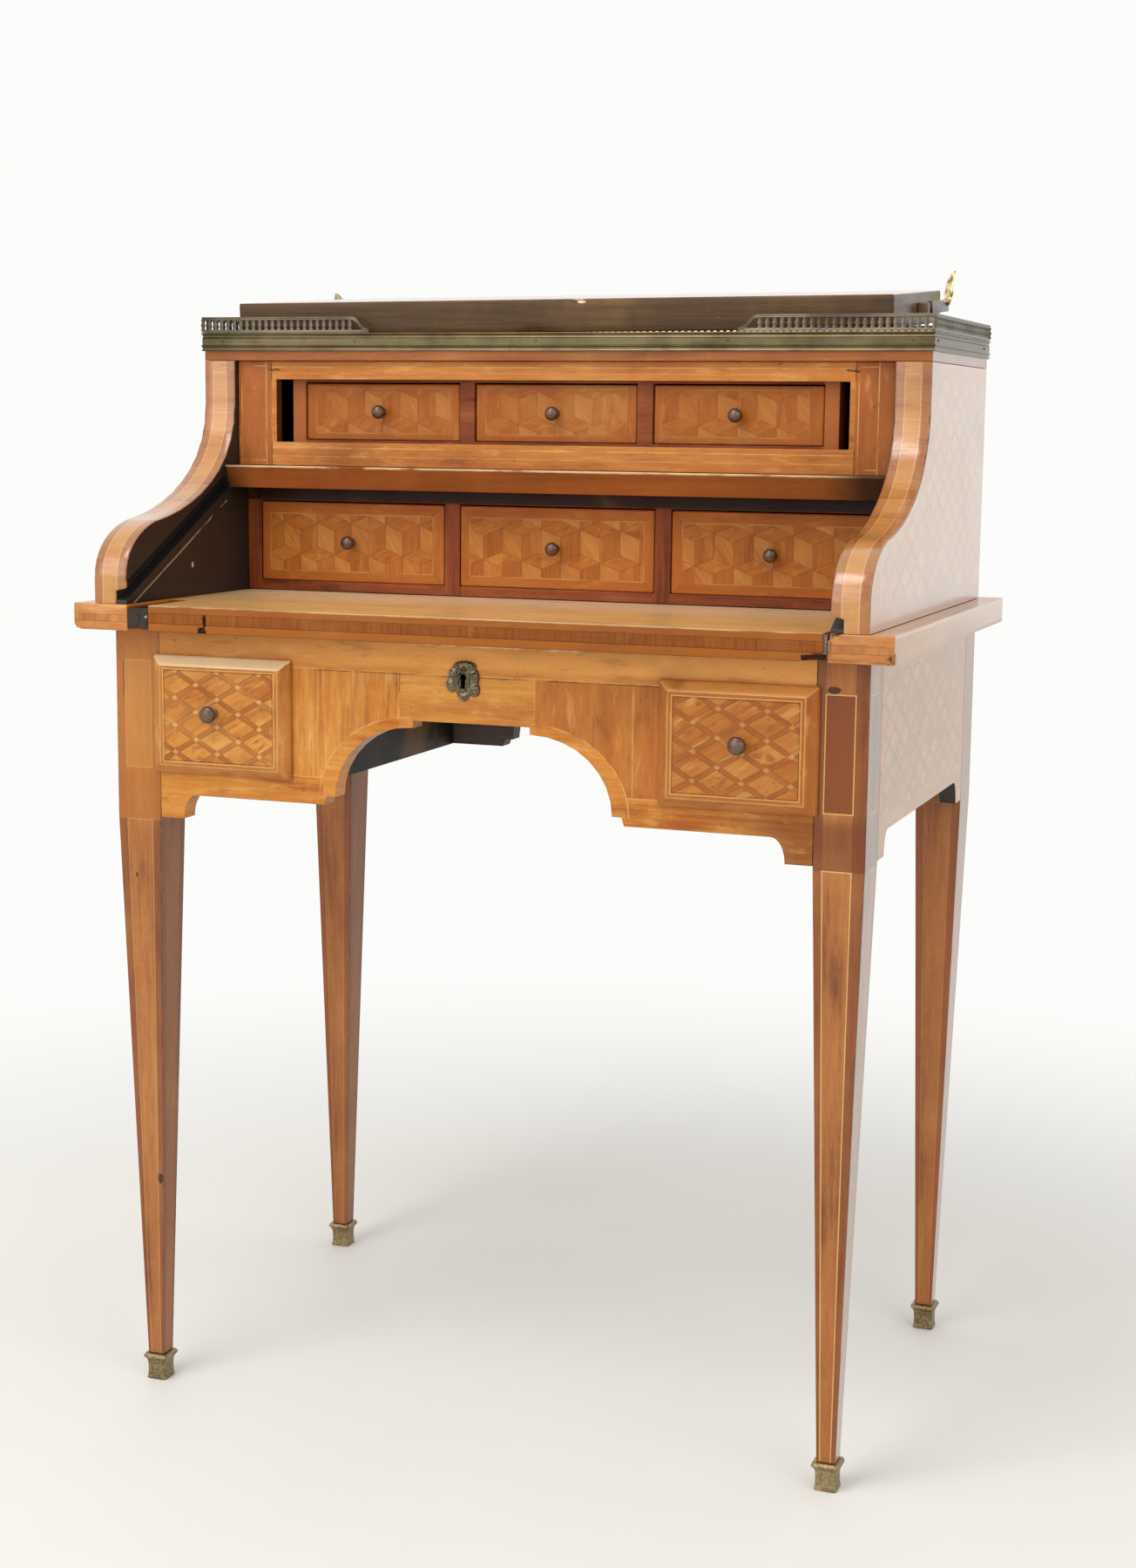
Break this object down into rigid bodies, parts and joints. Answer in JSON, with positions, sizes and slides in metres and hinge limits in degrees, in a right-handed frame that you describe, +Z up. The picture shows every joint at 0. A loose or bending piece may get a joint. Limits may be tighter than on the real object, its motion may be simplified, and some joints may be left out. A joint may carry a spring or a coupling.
{
  "type": "slant-front desk",
  "caption": "Small writing desk with scroll sides, pull-out writing slide, inner and apron drawers, tapered legs, brass gallery, and its slant front lying loose on top.",
  "frame": {"origin": "on the floor, under the middle of the base boards, which are the object's widest and deepest part", "axes": "+Z up, +X to the sitter's right, -Y to the front where the drawers and the slide pull out"},
  "size_m": [0.7518, 0.4808, 1.0606],
  "materials": {
    "satinwood": "worn satin varnish over veneer",
    "rail_wood": "reddish solid wood, satin",
    "inner_wood": "dark stained, dull",
    "old_brass": "old unpolished brass",
    "dark_iron": "dark, dull"
  },
  "bodies": {
    "carcass": {"front_apron": "satinwood", "back_apron": "satinwood", "left_side_panel": "satinwood", "right_side_panel": "satinwood", "left_partition": "inner_wood", "right_partition": "inner_wood", "left_pocket_floor": "inner_wood", "right_pocket_floor": "inner_wood", "front_left_leg": "satinwood", "front_right_leg": "satinwood", "back_left_leg": "satinwood", "back_right_leg": "satinwood", "front_left_sabot": "old_brass", "front_right_sabot": "old_brass", "back_left_sabot": "old_brass", "back_right_sabot": "old_brass", "left_base_board": "satinwood", "right_base_board": "satinwood", "back_base_rail": "satinwood", "left_scroll_side": "satinwood", "right_scroll_side": "satinwood", "shelf": "rail_wood", "back_board": "inner_wood", "top_board": "rail_wood", "lower_drawer_nest": "rail_wood", "upper_drawer_nest": "rail_wood", "upper_front_frame": "satinwood", "brass_band": "old_brass", "gallery_front_left": "old_brass", "gallery_front_right": "old_brass", "gallery_left": "old_brass", "gallery_right": "old_brass", "gallery_back": "old_brass", "escutcheon": "old_brass", "lock_case": "dark_iron"},
    "slide": {"writing_slide": "satinwood", "slide_front_rail": "satinwood", "slide_hinge_plate": "dark_iron"},
    "bolt": {"lock_bolt": "old_brass"},
    "slant_front": {"lid": "satinwood", "lid_left_peg": "satinwood", "lid_right_peg": "satinwood", "lid_left_bracket": "old_brass", "lid_right_bracket": "old_brass"},
    "upper_left": {"upper_left_drawer": "satinwood", "upper_left_drawer_knob": "dark_iron"},
    "upper_middle": {"upper_middle_drawer": "satinwood", "upper_middle_drawer_knob": "dark_iron"},
    "upper_right": {"upper_right_drawer": "satinwood", "upper_right_drawer_knob": "dark_iron"},
    "lower_left": {"lower_left_drawer": "satinwood", "lower_left_drawer_knob": "dark_iron"},
    "lower_middle": {"lower_middle_drawer": "satinwood", "lower_middle_drawer_knob": "dark_iron"},
    "lower_right": {"lower_right_drawer": "satinwood", "lower_right_drawer_knob": "dark_iron"},
    "apron_left": {"apron_left_drawer": "satinwood", "apron_left_drawer_knob": "dark_iron"},
    "apron_right": {"apron_right_drawer": "satinwood", "apron_right_drawer_knob": "dark_iron"}
  },
  "joints": [
    {"name": "slide_pull", "type": "slide", "parent": "carcass", "child": "slide", "axis": [0, -1, 0], "range_m": [0, 0.105]},
    {"name": "bolt_throw", "type": "slide", "parent": "carcass", "child": "bolt", "axis": [0, 0, 1], "range_m": [0, 0.008]},
    {"name": "lid_lift", "type": "slide", "parent": "carcass", "child": "slant_front", "axis": [0, 0, 1], "range_m": [0, 0.15]},
    {"name": "upper_left_pull", "type": "slide", "parent": "carcass", "child": "upper_left", "axis": [0, -1, 0], "range_m": [0, 0.16]},
    {"name": "upper_middle_pull", "type": "slide", "parent": "carcass", "child": "upper_middle", "axis": [0, -1, 0], "range_m": [0, 0.16]},
    {"name": "upper_right_pull", "type": "slide", "parent": "carcass", "child": "upper_right", "axis": [0, -1, 0], "range_m": [0, 0.16]},
    {"name": "lower_left_pull", "type": "slide", "parent": "carcass", "child": "lower_left", "axis": [0, -1, 0], "range_m": [0, 0.16]},
    {"name": "lower_middle_pull", "type": "slide", "parent": "carcass", "child": "lower_middle", "axis": [0, -1, 0], "range_m": [0, 0.16]},
    {"name": "lower_right_pull", "type": "slide", "parent": "carcass", "child": "lower_right", "axis": [0, -1, 0], "range_m": [0, 0.16]},
    {"name": "apron_left_pull", "type": "slide", "parent": "carcass", "child": "apron_left", "axis": [0, -1, 0], "range_m": [0, 0.3]},
    {"name": "apron_right_pull", "type": "slide", "parent": "carcass", "child": "apron_right", "axis": [0, -1, 0], "range_m": [0, 0.3]}
  ]
}
